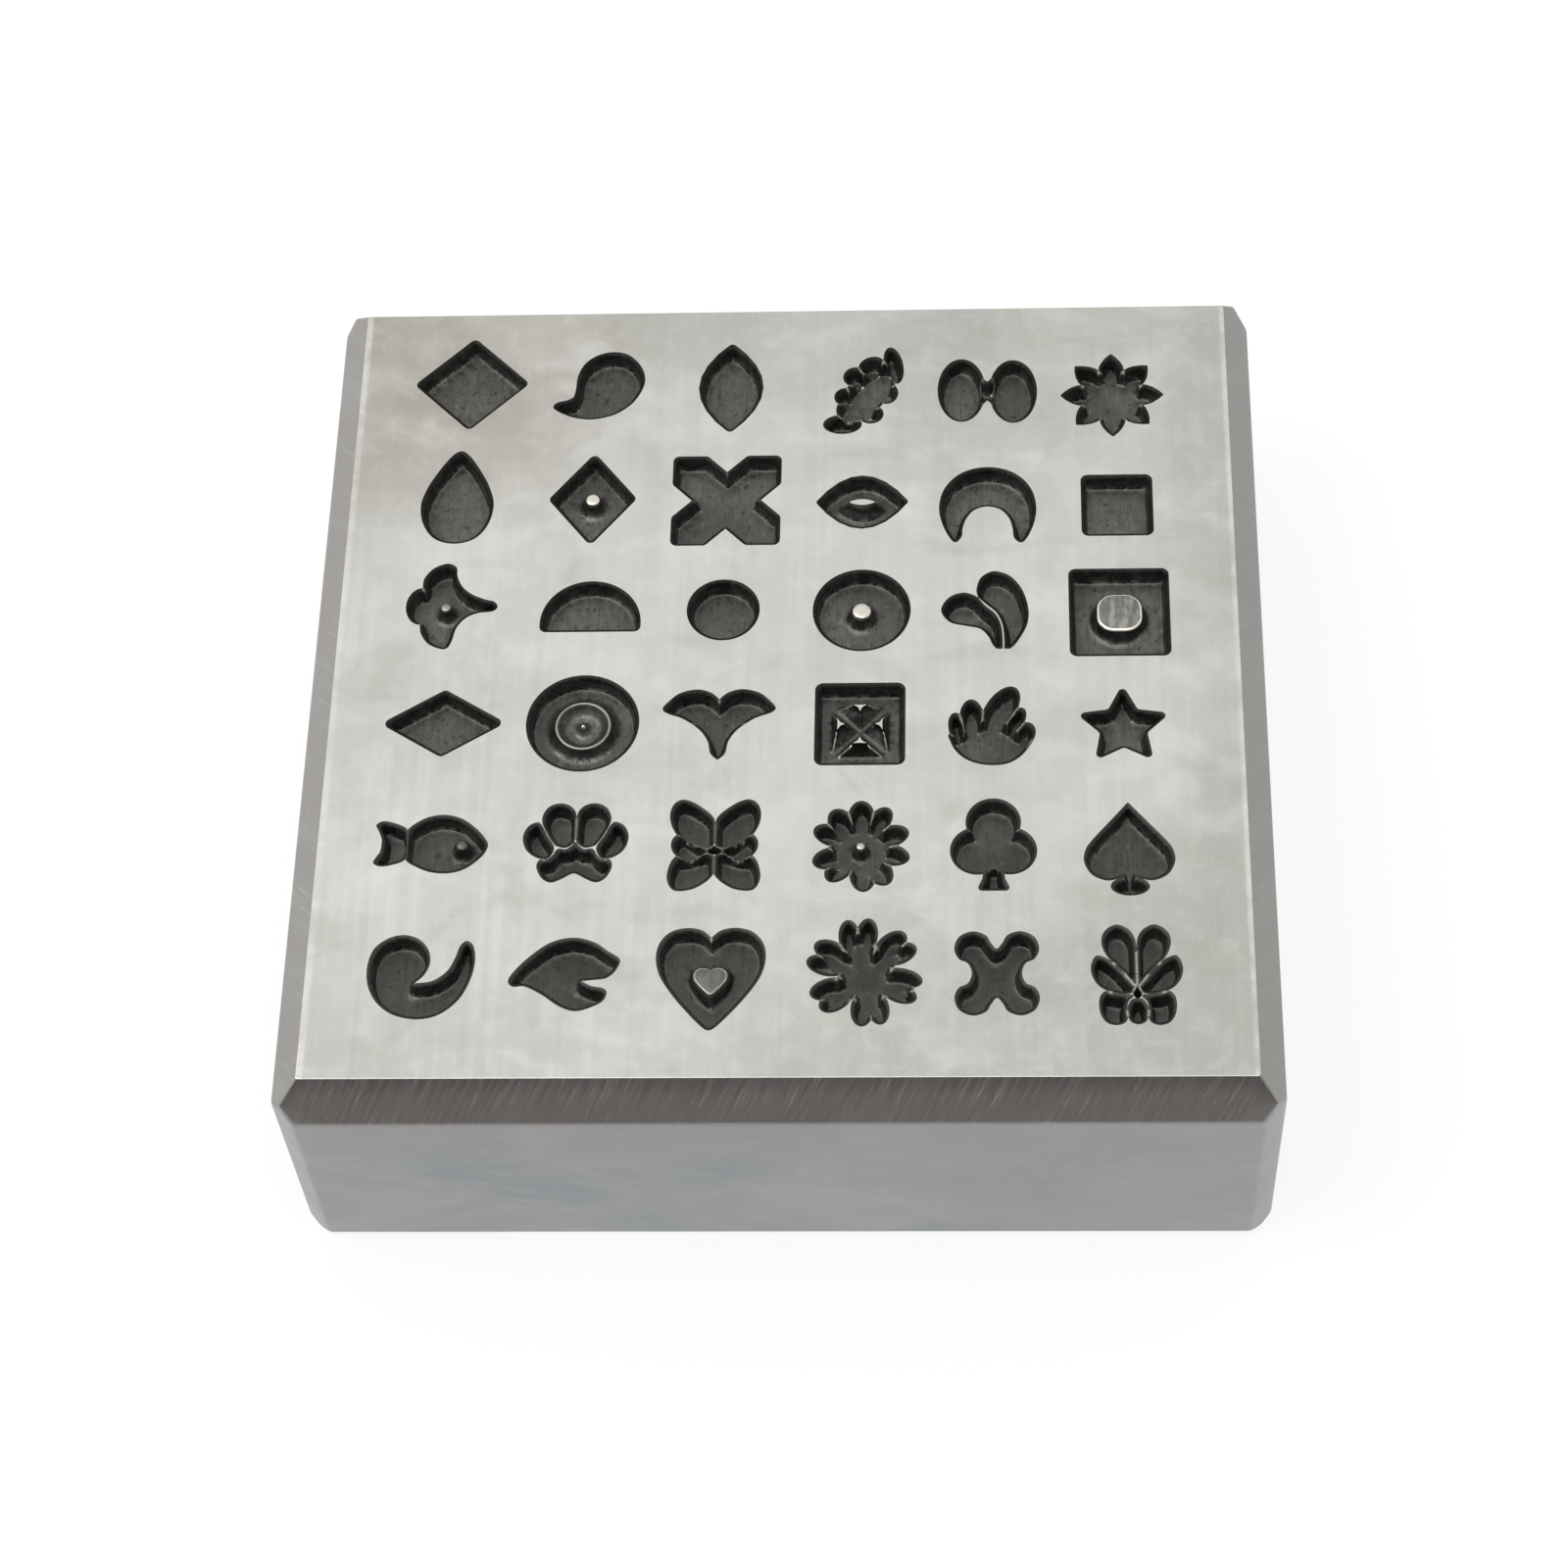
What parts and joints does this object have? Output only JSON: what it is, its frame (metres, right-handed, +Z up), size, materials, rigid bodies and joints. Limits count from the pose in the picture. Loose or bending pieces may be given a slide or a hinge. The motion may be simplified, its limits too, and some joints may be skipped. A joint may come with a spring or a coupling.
{
  "type": "shot plate",
  "caption": "Square steel forming block with bevelled edges; its ground face carries a grid of shallow shaped cavities into which sheet metal is pressed or punched",
  "frame": {"origin": "middle of the flat underside", "axes": "+Z up out of the working face, +X to the right and +Y away from the viewer, as the block stands in the picture"},
  "size_m": [0.0636, 0.0636, 0.0191],
  "materials": {
    "ground_steel": "finely ground bright tool steel on the face, black heat scale in the cavities, roughly ground bevel"
  },
  "bodies": {
    "root": {"plate_block": "ground_steel"}
  },
  "joints": []
}
